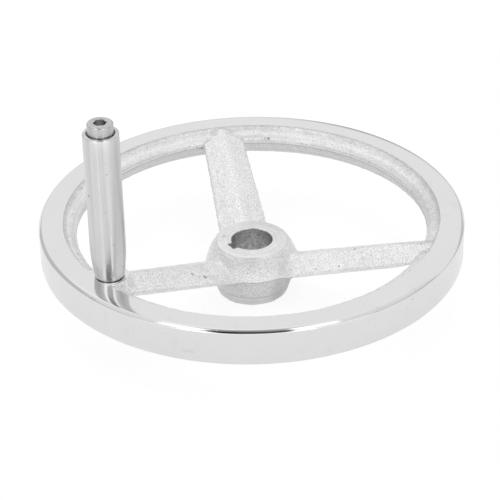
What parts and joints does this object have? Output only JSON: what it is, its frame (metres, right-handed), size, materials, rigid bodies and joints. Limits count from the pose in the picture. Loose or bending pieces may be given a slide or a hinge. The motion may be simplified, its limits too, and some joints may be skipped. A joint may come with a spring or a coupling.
{
  "type": "machine handwheel",
  "caption": "Dished metal handwheel with tapered spokes, a keyed hub bore and an upright cylindrical handle that revolves on its own axle.",
  "frame": {"origin": "centre of the bore at the hub's back face, which is also the lowest point of the part", "axes": "+Z along the bore towards the operator, +X through the spoke that carries the handle"},
  "size_m": [0.225, 0.225, 0.1323],
  "materials": {
    "cast_aluminium": "blasted casting with a polished rim",
    "turned_steel": "finely turned and polished",
    "screw_steel": "bright plated",
    "bush_steel": "turned"
  },
  "bodies": {
    "wheel_body": {"wheel": "cast_aluminium", "axle_screw": "screw_steel", "axle_bush": "bush_steel"},
    "grip_body": {"grip": "turned_steel"}
  },
  "joints": [
    {"name": "grip_spin", "type": "hinge", "parent": "wheel_body", "child": "grip_body", "pos_m": [0.093, 0, 0.0868], "axis": [0, 0, 1], "continuous": true}
  ]
}
